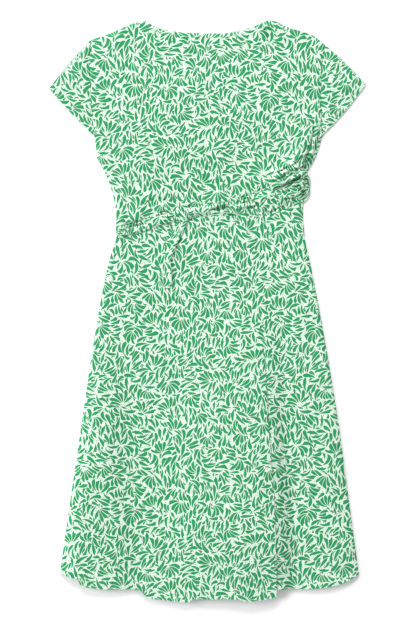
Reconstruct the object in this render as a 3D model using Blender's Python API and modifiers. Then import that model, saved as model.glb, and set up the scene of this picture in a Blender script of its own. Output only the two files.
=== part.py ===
"""Short-sleeved A-line dress with a knotted waist tie, laid flat on a table.

The dress lies on its back: +Z up, the neck towards +Y, the origin under the
middle of its outline, on the surface it lies on. The back panels are flat on
the surface and the front panels lie on them, one layer of cloth higher, with
the soft flutes of the skirt. Sizes are in millimetres until a mesh is made.

In the tables, "down" is the distance below the highest shoulder point and
"x" is across the dress, with 0 at its middle.
"""

from math import cos, pi, sin

import bmesh
import bpy
import numpy as np

# ---------------------------------------------------------------- main sizes
MM = 0.001
LENGTH = 1018.5  # shoulder point to the lowest point of the hem
SPAN = 554.8  # sleeve tip to sleeve tip
WALL = 1.2  # one layer of cloth
SEAM = 0.3  # kept free between two pieces at a seam
LAYER = 0.3  # kept free between two layers that lie on each other
FRONT = WALL + LAYER  # underside of the front panels where they lie flat
ON_TOP = FRONT + WALL + LAYER  # underside of what lies on the front panels
TIE_WALL = 2.0  # a tie is a sewn tube, pressed flat: two layers
HALF = LENGTH / 2

CLOTH = (0.333, 0.617, 0.429, 1.0)  # a green print on ivory, as its mean


def table(columns, *rows):
    """Rows of numbers, kept as one array for each named column."""
    return {name: np.array([row[i] for row in rows], float) for i, name in enumerate(columns.split())}


def read(rows, key, value, at):
    return np.interp(at, rows[key], rows[value])


def smooth(t):
    t = np.clip(t, 0.0, 1.0)
    return t * t * (3 - 2 * t)


# ------------------------------------------------------------ pattern tables
# Side edges of bodice and skirt, from the underarm to the hem corners.
SIDES = table(
    "down left right",
    (204.8, -196.9, 200.4),
    (238.0, -194.2, 189.9),
    (259.0, -182.9, 181.1),
    (290.5, -169.8, 172.4),
    (332.5, -161.0, 167.1),
    (374.5, -160.1, 169.4),
    (427.0, -174.1, 180.2),
    (532.0, -194.2, 200.4),
    (700.0, -219.6, 228.4),
    (868.0, -244.1, 251.1),
    (966.0, -258.1, 264.6),
    (969.5, -258.6, 265.1),
)
# Shoulder and neckline, from the left armhole over the neck to the right one.
TOP = table(
    "x down",
    (-203.9, 34.1),
    (-174.1, 24.5),
    (-132.1, 6.1),
    (-111.1, 1.4),
    (-90.1, 12.2),
    (-69.1, 17.8),
    (-27.1, 22.1),
    (25.4, 23.1),
    (56.9, 17.6),
    (88.4, 7.9),
    (109.4, 0.0),
    (140.9, 12.2),
    (182.9, 26.2),
    (205.6, 42.9),
)
NECK_LEFT, NECK_RIGHT = -111.1, 109.4
BACK_NECK_LOWER = 6.0  # the hidden neckline lies this much lower
# Armhole seams, from the shoulder down to the underarm.
ARMHOLES = table(
    "share left_x left_down right_x right_down",
    (0.00, -203.9, 34.1, 205.6, 42.9),
    (0.16, -205.1, 61.2, 201.2, 70.0),
    (0.33, -205.6, 89.2, 198.6, 96.2),
    (0.62, -203.9, 140.0, 198.5, 140.0),
    (0.81, -201.2, 171.5, 199.3, 175.0),
    (1.00, -196.9, 204.8, 200.4, 204.8),
)
# The waist seam runs under the ties, lower on the left.
WAIST = table(
    "x down",
    (-160.1, 372.8),
    (-118.1, 363.0),
    (-74.4, 350.9),
    (-34.1, 338.6),
    (13.1, 334.2),
    (65.6, 328.1),
    (105.9, 320.2),
    (144.4, 302.8),
    (172.0, 292.0),
)
# The front hem, lower where the flutes hang.
HEM = table(
    "x down",
    (-258.6, 966.0),
    (-242.4, 974.8),
    (-225.0, 978.6),
    (-223.0, 987.0),
    (-210.9, 992.2),
    (-175.9, 995.6),
    (-130.4, 995.8),
    (-117.0, 999.2),
    (-109.4, 1008.0),
    (-88.4, 1013.8),
    (-60.4, 1016.4),
    (-33.4, 1018.5),
    (-25.4, 1012.8),
    (56.9, 1012.6),
    (69.1, 1016.8),
    (91.9, 1013.8),
    (112.9, 1010.4),
    (119.0, 1004.5),
    (122.5, 996.5),
    (142.6, 995.1),
    (175.9, 995.8),
    (224.9, 989.1),
    (245.9, 981.8),
    (265.1, 969.5),
)
BACK_HEM = table(
    "x down",
    (-258.6, 964.0),
    (-235.0, 972.0),
    (-180.0, 984.0),
    (-90.0, 990.0),
    (90.0, 990.0),
    (180.0, 984.0),
    (235.0, 974.0),
    (265.1, 966.0),
)
# Sleeve hems: the tip at the fold, and the end next to the underarm.
SLEEVES = {
    "sleeve_left": dict(side=-1, tip_x=-SPAN / 2, tip_down=119.0, end_x=-202.3, end_down=199.2),
    "sleeve_right": dict(side=1, tip_x=SPAN / 2, tip_down=112.8, end_x=205.0, end_down=198.4),
}
# Flutes of the skirt. Each runs down a constant share of its width (0 at the
# left edge, 1 at the right one), so they spread towards the hem. The middle
# one laps over the cloth to its right with a short steep side.
FLUTES = table(
    "rise_from rise_to fall_from fall_to height start full",
    (0.030, 0.075, 0.120, 0.190, 2.2, 620.0, 930.0),
    (0.265, 0.420, 0.690, 0.735, 3.6, 470.0, 880.0),
    (0.800, 0.870, 0.910, 0.975, 2.4, 560.0, 930.0),
)
# The bodice stands a little fuller over the bust.
BUST = dict(rise_from=0.10, rise_to=0.38, fall_from=0.62, fall_to=0.90, height=2.2, top=60.0, full=150.0, fade=215.0, end=285.0)

# Shares across the panels where the columns of the front panels stand. They
# are closer at the neck points and on the steep side of the middle flute.
ACROSS = [0, 0.03, 0.064, 0.07, 0.115, 0.17, 0.226, 0.268, 0.285, 0.325, 0.37, 0.43, 0.44, 0.48, 0.52, 0.56]
ACROSS += [0.602, 0.63, 0.66, 0.69, 0.705, 0.721, 0.728, 0.742, 0.765, 0.80, 0.84, 0.885, 0.93, 0.97, 1.0]
NECK_FROM, NECK_TO = 0.226, 0.765


# --------------------------------------------------------- shared geometry
def left_edge(down):
    return read(SIDES, "down", "left", down)


def right_edge(down):
    return read(SIDES, "down", "right", down)


def share_across(x, down):
    return (x - left_edge(down)) / (right_edge(down) - left_edge(down))


def hump(value, rise_from, rise_to, fall_from, fall_to):
    return smooth((value - rise_from) / (rise_to - rise_from)) * (1 - smooth((value - fall_from) / (fall_to - fall_from)))


def relief(x, down):
    """How far the front stands above the plane that it lies in."""
    share = share_across(x, np.maximum(down, SIDES["down"][0]))
    out = 0.0
    for i in range(len(FLUTES["height"])):
        f = {name: column[i] for name, column in FLUTES.items()}
        grow = smooth((down - f["start"]) / (f["full"] - f["start"]))
        out += f["height"] * grow * hump(share, f["rise_from"], f["rise_to"], f["fall_from"], f["fall_to"])
    b = BUST
    over = smooth((down - b["top"]) / (b["full"] - b["top"])) * (1 - smooth((down - b["fade"]) / (b["end"] - b["fade"])))
    out += b["height"] * over * hump(share, b["rise_from"], b["rise_to"], b["fall_from"], b["fall_to"])
    return float(out)


def waist_point(u, shift=0.0):
    x = WAIST["x"][0] + u * (WAIST["x"][-1] - WAIST["x"][0])
    down = read(WAIST, "x", "down", x)
    # the seam meets the side edges exactly
    x += (1 - smooth(u / 0.1)) * (left_edge(down) - WAIST["x"][0])
    x += (1 - smooth((1 - u) / 0.1)) * (right_edge(down) - WAIST["x"][-1])
    return np.array([x, down + shift])


def hem_point(u, hem):
    x = hem["x"][0] + u * (hem["x"][-1] - hem["x"][0])
    return np.array([x, read(hem, "x", "down", x)])


def top_point(u, neck_lower=0.0):
    if u <= NECK_FROM:
        x = TOP["x"][0] + u / NECK_FROM * (NECK_LEFT - TOP["x"][0])
    elif u < NECK_TO:
        x = NECK_LEFT + (u - NECK_FROM) / (NECK_TO - NECK_FROM) * (NECK_RIGHT - NECK_LEFT)
    else:
        x = NECK_RIGHT + (u - NECK_TO) / (1 - NECK_TO) * (TOP["x"][-1] - NECK_RIGHT)
    in_neck = (u - NECK_FROM) / (NECK_TO - NECK_FROM)
    lower = neck_lower * sin(pi * in_neck) ** 0.5 if 0 < in_neck < 1 else 0.0
    return np.array([x, read(TOP, "x", "down", x) + lower])


def armhole_point(side, share, shift=0.0):
    name = "left" if side < 0 else "right"
    x = read(ARMHOLES, "share", name + "_x", share)
    return np.array([x + side * shift, read(ARMHOLES, "share", name + "_down", share)])


def bodice_side(side, v):
    """Side seam from the waist (v 0) to the underarm (v 0.5), then armhole."""
    if v <= 0.5:
        waist = waist_point(0.0 if side < 0 else 1.0)
        down = waist[1] + v / 0.5 * (SIDES["down"][0] - waist[1])
        return np.array([left_edge(down) if side < 0 else right_edge(down), down])
    return armhole_point(side, 1 - (v - 0.5) / 0.5, -SEAM / 2)


def skirt_side(side, v, hem):
    """Side edge from the hem (v 0) to the waist (v 1)."""
    low = hem_point(0.0 if side < 0 else 1.0, hem)
    high = waist_point(0.0 if side < 0 else 1.0)
    down = low[1] + v * (high[1] - low[1])
    return np.array([left_edge(down) if side < 0 else right_edge(down), down])


def patch(us, vs, bottom, top, left, right):
    """Points of a four-sided sheet, blended between its four edges."""
    corners = bottom(0.0), bottom(1.0), top(0.0), top(1.0)
    rows = []
    for v in vs:
        row = []
        for u in us:
            edges = (1 - v) * bottom(u) + v * top(u) + (1 - u) * left(v) + u * right(v)
            inner = (1 - v) * ((1 - u) * corners[0] + u * corners[1]) + v * ((1 - u) * corners[2] + u * corners[3])
            row.append(edges - inner)
        rows.append(row)
    return rows


# ------------------------------------------------------------- mesh helpers
dress = bpy.data.collections.new("tie_waist_dress")
bpy.context.scene.collection.children.link(dress)
for thing in list(bpy.context.scene.objects):
    bpy.data.objects.remove(thing, do_unlink=True)


def material(name, roughness=0.85):
    made = bpy.data.materials.new(name)
    made.use_nodes = True
    shader = made.node_tree.nodes["Principled BSDF"]
    shader.inputs["Base Color"].default_value = CLOTH
    shader.inputs["Roughness"].default_value = roughness
    shader.inputs["Metallic"].default_value = 0.0
    made.diffuse_color = CLOTH
    return made


def add(name, data, smooth_faces=True):
    made = bpy.data.objects.new(name, data)
    made.data.materials.append(material(name + "_cloth"))
    dress.objects.link(made)
    if smooth_faces and made.type == "MESH":
        made.data.shade_smooth()
        made.data.set_sharp_from_angle(angle=0.7)
    return made


def place(x, down, z):
    return (x * MM, (HALF - down) * MM, z * MM)


def sheet_mesh(name, grid):
    """An open sheet of four-sided faces through rows of points (x, down, z)."""
    bm = bmesh.new()
    rows = [[bm.verts.new(place(*p)) for p in row] for row in grid]
    for low, high in zip(rows, rows[1:]):
        for a, b, c, d in zip(low, low[1:], high[1:], high):
            bm.faces.new((a, b, c, d))
    mesh = bpy.data.meshes.new(name)
    bm.to_mesh(mesh)
    bm.free()
    return mesh


def thicken(made, wall, offset):
    solid = made.modifiers.new("Wall", "SOLIDIFY")
    solid.thickness = wall * MM
    solid.offset = offset
    solid.use_even_offset = True
    solid.use_rim = True
    return made


def front_panel(name, grid2d):
    """A front panel: its underside lies on the back panel and lifts in the folds."""
    grid = [[(p[0], p[1], FRONT + relief(p[0], p[1])) for p in row] for row in grid2d]
    return thicken(add(name, sheet_mesh(name, grid)), WALL, 1.0)


def back_panel(name, outline):
    """A back panel: a flat outline, one layer thick, on the surface."""
    curve = bpy.data.curves.new(name, "CURVE")
    curve.dimensions = "2D"
    curve.fill_mode = "BOTH"
    curve.extrude = WALL / 2 * MM
    spline = curve.splines.new("POLY")
    spline.points.add(len(outline) - 1)
    for point, (x, down) in zip(spline.points, outline):
        point.co = (x * MM, (HALF - down) * MM, 0.0, 1.0)
    spline.use_cyclic_u = True
    made = add(name, curve)
    made.location = (0.0, 0.0, WALL / 2 * MM)
    return made


# ------------------------------------------------------------------- panels
BODICE_ROWS = [i / 8 * 0.5 for i in range(8)] + [0.5 + i / 8 * 0.5 for i in range(9)]
SKIRT_ROWS = [(i / 22) for i in range(23)]

front_panel(
    "bodice_front",
    patch(
        ACROSS,
        BODICE_ROWS,
        lambda u: waist_point(u, -SEAM / 2),
        top_point,
        lambda v: bodice_side(-1, v),
        lambda v: bodice_side(1, v),
    ),
)
front_panel(
    "skirt_front",
    patch(
        ACROSS,
        SKIRT_ROWS,
        lambda u: hem_point(u, HEM),
        lambda u: waist_point(u, SEAM / 2),
        lambda v: skirt_side(-1, v, HEM),
        lambda v: skirt_side(1, v, HEM),
    ),
)
back_panel(
    "bodice_back",
    [waist_point(u, -SEAM / 2) for u in ACROSS]
    + [bodice_side(1, v) for v in BODICE_ROWS[1:]]
    + [top_point(u, BACK_NECK_LOWER) for u in reversed(ACROSS[1:-1])]
    + [bodice_side(-1, v) for v in reversed(BODICE_ROWS[1:])],
)
back_panel(
    "skirt_back",
    [hem_point(u, BACK_HEM) for u in ACROSS[:-1]]
    + [skirt_side(1, v, BACK_HEM) for v in SKIRT_ROWS[:-1]]
    + [waist_point(u, SEAM / 2) for u in reversed(ACROSS)]
    + [skirt_side(-1, v, BACK_HEM) for v in reversed(SKIRT_ROWS[1:-1])],
)


# ------------------------------------------------------------------ sleeves
def sleeve(name, side, tip_x, tip_down, end_x, end_down):
    """A cap sleeve: one piece folded along its top edge, open at its hem.

    Each section runs from the underarm up the front layer, round the fold
    and down the back layer.
    """
    bend = (WALL + LAYER) / 2
    inset = bend + WALL / 2
    low, high = WALL / 2, FRONT + WALL / 2
    tip, end = np.array([tip_x, tip_down]), np.array([end_x, end_down])
    layer = [1.0, 0.88, 0.76, 0.64, 0.52, 0.40, 0.28, 0.17, 0.08]
    steps = 6
    grid = []
    for s in [i / 8 for i in range(9)]:
        def at(t):
            armhole = armhole_point(side, t * 0.995, SEAM / 2)
            return (1 - s) * armhole + s * (tip + t * (end - tip))

        fold = at(0.0)
        inward = at(0.12) - fold
        inward /= np.linalg.norm(inward)
        full = 1.6 * sin(pi * s * 0.75)
        row = []
        for t in layer:
            x, down = at(t)
            row.append((x, down, high + full * hump(t, 0.0, 0.35, 0.55, 0.95)))
        for i in range(steps + 1):
            turn = pi * i / steps
            x, down = fold + inward * (inset - bend * sin(turn))
            row.append((x, down, (low + high) / 2 + bend * cos(turn)))
        for t in reversed(layer):
            x, down = at(t)
            row.append((x, down, low))
        grid.append(row if side > 0 else row[::-1])
    return thicken(add(name, sheet_mesh(name, grid)), WALL, 0.0)


for sleeve_name, sizes in SLEEVES.items():
    sleeve(sleeve_name, **sizes)

# --------------------------------------------------------------------- ties
# Each tie lies on the front panels. "x" runs along it, "upper" and "lower"
# are its two edges, "lift" is how high its gathers stand.
TIE_LEFT = table(
    "x upper lower lift",
    (-160.0, 361.5, 383.5, 0.4),
    (-146.0, 359.0, 381.0, 1.4),
    (-132.0, 355.0, 379.0, 2.2),
    (-118.0, 351.0, 374.5, 1.6),
    (-103.0, 347.0, 369.0, 2.2),
    (-88.0, 343.0, 364.5, 2.6),
    (-76.0, 340.0, 360.5, 2.2),
    (-64.0, 336.5, 357.0, 2.8),
    (-56.5, 334.0, 352.5, 3.2),
)
TIE_RIGHT = table(
    "x upper lower lift",
    (-26.5, 326.5, 345.5, 3.2),
    (-12.0, 326.0, 344.0, 2.6),
    (6.0, 324.0, 343.5, 2.8),
    (26.0, 322.5, 342.5, 2.2),
    (46.0, 320.5, 342.0, 2.6),
    (66.0, 316.0, 342.5, 3.0),
    (86.0, 309.0, 345.0, 3.0),
    (106.0, 299.5, 343.0, 3.4),
    (124.0, 290.5, 337.0, 3.8),
    (142.0, 281.5, 330.0, 4.2),
    (158.0, 274.5, 325.0, 4.6),
    (171.0, 271.5, 321.5, 3.6),
    (179.5, 273.0, 315.0, 1.6),
)
# The free end below the knot: its middle line and its half width.
TIE_END = table(
    "down x half lift",
    (357.0, -45.5, 8.0, 1.4),
    (369.0, -50.5, 8.6, 1.6),
    (381.0, -57.0, 9.3, 1.8),
    (395.0, -65.0, 10.0, 1.6),
    (410.0, -72.0, 10.4, 1.4),
    (426.0, -75.0, 10.6, 1.2),
    (443.0, -73.5, 10.6, 1.2),
    (457.0, -73.0, 10.4, 0.9),
    (468.0, -75.5, 9.6, 0.4),
)
TIE_RIDGES = {"tie_left": 2.5, "tie_right": 3.5, "tie_end": 1.0}


def ridges(count, t):
    """Rounded lengthwise folds, lower at the tie's two edges."""
    return 0.5 * (1 - cos(2 * pi * count * t)) * (0.55 + 0.45 * sin(pi * t))


def tie_across(name, rows, steps):
    grid = []
    for i in range(len(rows["x"])):
        row = []
        for j in range(steps + 1):
            t = j / steps
            down = rows["lower"][i] + t * (rows["upper"][i] - rows["lower"][i])
            x = rows["x"][i]
            row.append((x, down, ON_TOP + relief(x, down) + rows["lift"][i] * ridges(TIE_RIDGES[name], t)))
        grid.append(row)
    grid = [[row[j] for row in grid] for j in range(steps + 1)]
    return thicken(add(name, sheet_mesh(name, grid)), TIE_WALL, 1.0)


def tie_down(name, rows, steps):
    grid = []
    for i in reversed(range(len(rows["down"]))):
        row = []
        for j in range(steps + 1):
            t = j / steps
            x = rows["x"][i] + (2 * t - 1) * rows["half"][i]
            down = rows["down"][i] + 2.5 * (1 - 2 * t) * (rows["down"][i] > 450)
            row.append((x, down, ON_TOP + relief(x, down) + rows["lift"][i] * ridges(TIE_RIDGES[name], t)))
        grid.append(row)
    return thicken(add(name, sheet_mesh(name, grid)), TIE_WALL, 1.0)


tie_across("tie_left", TIE_LEFT, 10)
tie_across("tie_right", TIE_RIGHT, 14)
tie_down("tie_end", TIE_END, 6)

# The knot: a soft lump of wrapped cloth from a coarse cage.
KNOT = dict(x=-41.5, down=339.5, wide=28.5, long=31.0, high=12.5)
cage = bmesh.new()
bmesh.ops.create_cube(cage, size=1.0)
bmesh.ops.subdivide_edges(cage, edges=cage.edges[:], cuts=1, use_grid_fill=True)
for vert in cage.verts:
    x, y, z = vert.co * 2
    round_in = 1 - 0.10 * (abs(x) + abs(y) + abs(z) - 1)
    crown = 1.0 if z > 0 else 0.92
    vert.co = (
        x * KNOT["wide"] / 2 * MM * round_in * crown * 1.06,
        y * KNOT["long"] / 2 * MM * round_in * crown * 1.06,
        (z * 0.5 + 0.5) * KNOT["high"] * MM,
    )
knot_mesh = bpy.data.meshes.new("tie_knot")
cage.to_mesh(knot_mesh)
cage.free()
knot = add("tie_knot", knot_mesh)
knot.location = place(KNOT["x"], KNOT["down"], ON_TOP)
rounding = knot.modifiers.new("Soft", "SUBSURF")
rounding.levels = 2
rounding.render_levels = 2
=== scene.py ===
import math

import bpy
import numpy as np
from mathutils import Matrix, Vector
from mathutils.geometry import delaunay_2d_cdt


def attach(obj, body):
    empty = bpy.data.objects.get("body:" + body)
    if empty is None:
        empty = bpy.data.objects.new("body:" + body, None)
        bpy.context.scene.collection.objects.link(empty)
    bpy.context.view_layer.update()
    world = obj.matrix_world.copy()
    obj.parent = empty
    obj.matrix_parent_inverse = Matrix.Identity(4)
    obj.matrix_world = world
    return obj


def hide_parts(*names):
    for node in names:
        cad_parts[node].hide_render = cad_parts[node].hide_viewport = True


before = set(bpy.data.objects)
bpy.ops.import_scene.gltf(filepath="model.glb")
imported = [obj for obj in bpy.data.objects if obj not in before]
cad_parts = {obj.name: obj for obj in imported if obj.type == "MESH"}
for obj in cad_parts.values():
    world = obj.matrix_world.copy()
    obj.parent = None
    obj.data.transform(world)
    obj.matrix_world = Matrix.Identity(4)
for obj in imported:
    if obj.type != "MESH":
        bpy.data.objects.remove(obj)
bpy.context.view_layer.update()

# A short-sleeved dress with a waist tie, laid flat with its front up, of fine
# woven cloth with a dense print of small leaves. Lengths are in millimetres
# until a mesh is made. "down" is the distance below the highest shoulder point
# and x runs across, 0 at the middle. Each piece of cloth is cut in its own flat
# coordinates (s across, w up the dress, w = -down), the leaves are cut into it
# there, and a function lays each point of the cloth in its place.

HALF = 1018.5 / 2
MM = 0.001


# ---------------------------------------------------------------- small maths
def table(columns, *rows):
    return {name: np.array([row[i] for row in rows], float) for i, name in enumerate(columns.split())}


def smooth(t):
    t = np.clip(t, 0.0, 1.0)
    return t * t * (3 - 2 * t)


def curve(xk, yk, x):
    """A smooth line through the points of a table, with no overshoot."""
    step = np.diff(xk)
    slope = np.diff(yk) / step
    lean = np.empty(len(xk))
    lean[0], lean[-1] = slope[0], slope[-1]
    same = slope[:-1] * slope[1:] > 0
    total = np.where(same, slope[:-1] + slope[1:], 1.0)
    lean[1:-1] = np.where(same, 2 * slope[:-1] * slope[1:] / total, 0.0)
    x = np.clip(np.asarray(x, float), xk[0], xk[-1])
    i = np.clip(np.searchsorted(xk, x) - 1, 0, len(step) - 1)
    t = (x - xk[i]) / step[i]
    a, b = 2 * t**3 - 3 * t**2 + 1, t**3 - 2 * t**2 + t
    c, d = 3 * t**2 - 2 * t**3, t**3 - t**2
    return a * yk[i] + b * step[i] * lean[i] + c * yk[i + 1] + d * step[i] * lean[i + 1]


def hump(v, rise_from, rise_to, fall_from, fall_to):
    return smooth((v - rise_from) / (rise_to - rise_from)) * (1 - smooth((v - fall_from) / (fall_to - fall_from)))


def bell(v, middle, width):
    return np.exp(-(((v - middle) / width) ** 2))


def ripple(x, y, length, seed, stretch=1.0, waves=7):
    """A soft irregular relief between about -1 and 1: waves of nearly one length."""
    rng = np.random.default_rng(seed)
    out = 0.0
    for _ in range(waves):
        turn, size, phase = rng.uniform(0, math.pi), length * rng.uniform(0.7, 1.5), rng.uniform(0, 2 * math.pi)
        out = out + np.sin(2 * math.pi * (x * math.cos(turn) + y * math.sin(turn) / stretch) / size + phase)
    return out / math.sqrt(waves / 2) / 1.8


def rounded(distance, reach):
    """How far a cloth edge that rolls under has risen, 0 at the edge and 1 inside."""
    t = 1 - np.clip(distance / reach, 0.0, 1.0)
    return np.sqrt(np.clip(1 - t * t, 0.0, 1.0))


# ------------------------------------------------------------- pattern tables
SIDES = table(
    "down left right",
    (204.8, -196.9, 200.4), (238.0, -194.2, 189.9), (253.0, -186.1, 182.4), (268.0, -178.9, 174.0), (290.5, -169.8, 172.4),
    (332.5, -161.0, 167.1), (374.5, -160.1, 169.4), (427.0, -174.1, 180.2), (532.0, -194.2, 200.4),
    (700.0, -219.6, 228.4), (868.0, -244.1, 251.1), (966.0, -258.1, 264.6), (969.5, -258.6, 265.1),
)
TOP = table(
    "x down",
    (-203.9, 34.1), (-174.1, 24.5), (-132.1, 6.1), (-111.1, 1.4), (-90.1, 12.2), (-69.1, 17.8), (-27.1, 22.1),
    (25.4, 23.1), (56.9, 17.6), (88.4, 7.9), (109.4, 0.0), (140.9, 12.2), (182.9, 26.2), (205.6, 42.9),
)
NECK = (-111.1, 109.4)
BACK_NECK_LOWER = 6.0
ARMHOLES = table(
    "share left_x left_down right_x right_down",
    (0.00, -203.9, 34.1, 205.6, 42.9), (0.16, -205.1, 61.2, 201.2, 70.0), (0.33, -205.6, 89.2, 198.6, 96.2),
    (0.62, -203.9, 140.0, 198.5, 140.0), (0.81, -201.2, 171.5, 199.3, 175.0), (1.00, -196.9, 204.8, 200.4, 204.8),
)
WAIST = table(
    "x down",
    (-160.1, 372.8), (-118.1, 363.0), (-74.4, 350.9), (-34.1, 338.6), (13.1, 334.2), (65.6, 328.1),
    (105.9, 320.2), (144.4, 302.8), (172.0, 292.0),
)
HEM_LEFT = table(
    "x down",
    (-258.6, 966.0), (-242.4, 974.8), (-225.0, 978.6), (-223.0, 987.0), (-210.9, 992.2), (-175.9, 995.6),
    (-130.4, 995.8), (-117.0, 999.2), (-109.4, 1008.0), (-88.4, 1013.8), (-60.4, 1016.4), (-33.4, 1018.5),
    (-25.4, 1012.8), (56.9, 1012.6), (69.1, 1016.8), (91.9, 1013.8), (112.9, 1010.4), (122.0, 1006.0),
)
HEM_RIGHT = table(
    "x down",
    (122.0, 996.5), (142.6, 995.1), (175.9, 995.8), (224.9, 989.1), (245.9, 981.8), (265.1, 969.5),
)
BACK_HEM = table(
    "x down",
    (-258.6, 964.0), (-235.0, 972.0), (-180.0, 984.0), (-90.0, 990.0), (90.0, 990.0), (180.0, 984.0),
    (235.0, 974.0), (265.1, 966.0),
)
SLEEVES = {
    "sleeve_left": dict(side=-1, tip=(-277.4, 119.0), end=(-202.3, 199.2)),
    "sleeve_right": dict(side=1, tip=(277.4, 112.8), end=(205.0, 198.4)),
}


def left_edge(down):
    return curve(SIDES["down"], SIDES["left"], down)


def right_edge(down):
    return curve(SIDES["down"], SIDES["right"], down)


def share_across(x, down):
    return (x - left_edge(down)) / (right_edge(down) - left_edge(down))


def waist(x):
    return curve(WAIST["x"], WAIST["down"], x)


def top(x):
    return curve(TOP["x"], TOP["down"], x)


def armhole(side, share):
    name = "left" if side < 0 else "right"
    return curve(ARMHOLES["share"], ARMHOLES[name + "_x"], share), curve(
        ARMHOLES["share"], ARMHOLES[name + "_down"], share
    )


# ------------------------------------------------------------------ the print
# Curved leaves, pointed at one end and blunt at the other, in loose fans. They
# are packed at random on a square that repeats, then each is let out until the
# gap to its neighbours is even.
REPEAT = 320.0
CELL = 0.5
CELLS = int(REPEAT / CELL)
ALONG = np.array([0, 0.13, 0.29, 0.46, 0.63, 0.78, 0.90, 1.0])


def leaf_half(t):
    """Half the width along a leaf, as it is packed."""
    blunt = np.clip((t - 0.86) / 0.14, 0, 1)
    return np.where(t < 0.86, (np.clip(t, 0, 1) / 0.86) ** 0.92, np.clip(1 - blunt**2.8, 0, 1) ** 0.55)


HALVES = leaf_half(ALONG)


def midline(p, turn, long, bend, at=ALONG):
    bend = np.where(np.abs(bend) < 1e-3, 1e-3, bend)[:, None]
    start = turn[:, None] - bend / 2
    head = start + bend * at[None, :]
    x = (np.sin(head) - np.sin(start)) / bend
    y = (np.cos(start) - np.cos(head)) / bend
    return p[:, None, :] + np.stack([x, y], -1) * long[:, None, None], head


def leaf_outline(p, turn, long, wide, bend):
    mid, head = midline(p, turn, long, bend)
    across = np.stack([-np.sin(head), np.cos(head)], -1) * (wide[:, None] / 2 * HALVES[None, :])[..., None]
    return np.concatenate([(mid + across)[:, :-1], mid[:, -1:], (mid - across)[:, -2:0:-1]], 1)


class Packing:
    def __init__(self, seed, gap):
        self.free = np.ones((CELLS, CELLS), bool)
        self.rng = np.random.default_rng(seed)
        self.gap = gap
        self.leaves = []

    def fits(self, p, turn, long, wide, bend):
        rim = leaf_outline(p, turn, long, wide, bend)
        points = np.concatenate([rim, (rim + np.roll(rim, 1, 1)) / 2, midline(p, turn, long, bend)[0]], 1)
        i = np.floor(points / CELL).astype(int) % CELLS
        return self.free[i[..., 1], i[..., 0]].all(1)

    def put(self, p, turn, long, wide, bend, gap=None):
        gap = self.gap if gap is None else gap
        one = lambda v: np.array([v], float)
        at = np.linspace(0, 1, 14)
        mid = midline(np.array([p]), one(turn), one(long), one(bend), at)[0][0]
        half = wide / 2 * leaf_half(at)
        low = np.floor((mid.min(0) - wide / 2 - gap - 1) / CELL).astype(int)
        high = np.ceil((mid.max(0) + wide / 2 + gap + 1) / CELL).astype(int)
        gx, gy = (np.arange(low[0], high[0]) + 0.5) * CELL, (np.arange(low[1], high[1]) + 0.5) * CELL
        near = np.full((len(gy), len(gx)), 9e9)
        for (x, y), r in zip(mid, half):
            near = np.minimum(near, np.hypot(gx[None, :] - x, gy[:, None] - y) - r)
        where = np.ix_(np.arange(low[1], high[1]) % CELLS, np.arange(low[0], high[0]) % CELLS)
        self.free[where] = self.free[where] & (near > gap)
        self.leaves.append((p[0], p[1], turn, long, wide, bend))

    def attempt(self, p, turn, long, wide, bend, sizes=(1.0, 0.88, 0.76, 0.66)):
        f = np.array(sizes)
        good = self.fits(
            np.tile(p, (len(f), 1)), np.full(len(f), turn), long * f, wide * f**0.6, np.full(len(f), bend) * f
        )
        if good.any():
            k = f[int(np.argmax(good))]
            self.put(p, turn, long * k, wide * k**0.6, bend * k)


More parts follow.
